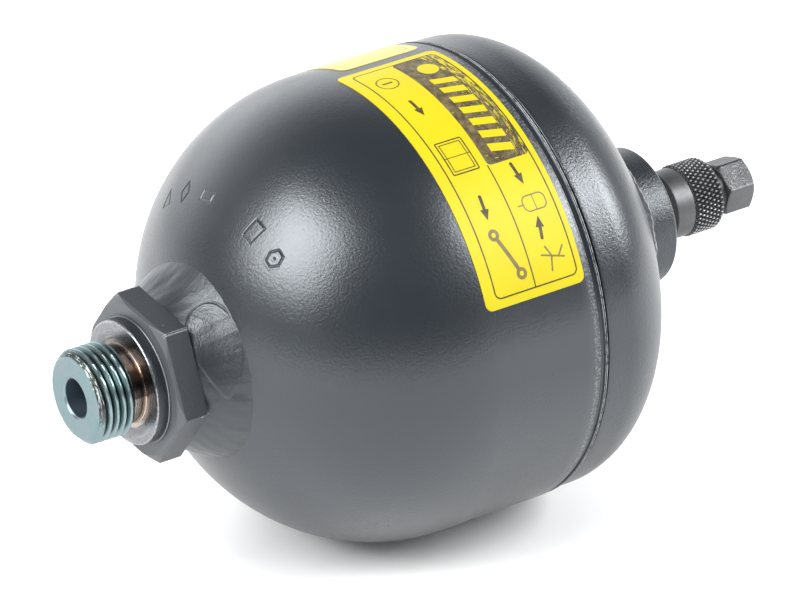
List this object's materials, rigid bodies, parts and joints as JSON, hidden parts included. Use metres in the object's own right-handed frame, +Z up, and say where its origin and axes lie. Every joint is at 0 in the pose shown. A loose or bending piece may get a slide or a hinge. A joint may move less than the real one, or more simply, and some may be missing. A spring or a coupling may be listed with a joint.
{
  "type": "diaphragm accumulator",
  "caption": "Welded steel hydraulic accumulator with a threaded hex port, a girth weld, a rubber diaphragm inside and a gas charging valve under a knurled cap.",
  "frame": {"origin": "centre of the port's sealing face, where the axis crosses the front of the collar behind the thread", "axes": "+X along the accumulator's axis from the fluid port to the gas valve, +Z up with the accumulator lying on its side, as drawn"},
  "size_m": [0.1886, 0.1107, 0.1107],
  "materials": {
    "black_paint": "satin charcoal-black paint with fine orange peel",
    "plated_steel": "zinc-plated turned steel, painted from the collar back",
    "weld_steel": "painted weld bead",
    "turned_steel": "plain turned steel",
    "brass": "turned brass",
    "spring_steel": "drawn spring wire",
    "nitrile_rubber": "moulded nitrile rubber",
    "gasket_plastic": "white sealing plastic",
    "label_film": "yellow printed film with dark print"
  },
  "bodies": {
    "shell": {"fluid_half_shell": "black_paint", "gas_half_shell": "black_paint", "girth_weld": "weld_steel", "port_fitting": "plated_steel", "port_weld": "weld_steel", "gas_boss": "black_paint", "gas_boss_weld": "weld_steel", "valve_body": "turned_steel", "valve_body_seal": "nitrile_rubber", "core_screw": "brass", "core_barrel": "brass", "core_gasket": "gasket_plastic", "core_spring": "spring_steel", "protective_cap": "black_paint", "cap_gasket": "nitrile_rubber", "diaphragm_clamp_ring": "turned_steel", "diaphragm": "nitrile_rubber", "main_label": "label_film", "second_label": "label_film"},
    "button": {"closing_button": "turned_steel"},
    "valve_pin": {"core_pin": "brass", "core_seal": "nitrile_rubber"}
  },
  "joints": [
    {"name": "diaphragm_stroke", "type": "slide", "parent": "shell", "child": "button", "axis": [1, 0, 0], "range_m": [0, 0.08], "stiffness_N_per_m": 300, "springref_m": -0.01, "deforming": ["diaphragm"]},
    {"name": "core_pin_press", "type": "slide", "parent": "shell", "child": "valve_pin", "axis": [-1, 0, 0], "range_m": [0, 0.0012], "stiffness_N_per_m": 1000, "springref_m": -0.002, "deforming": ["core_spring"]}
  ]
}
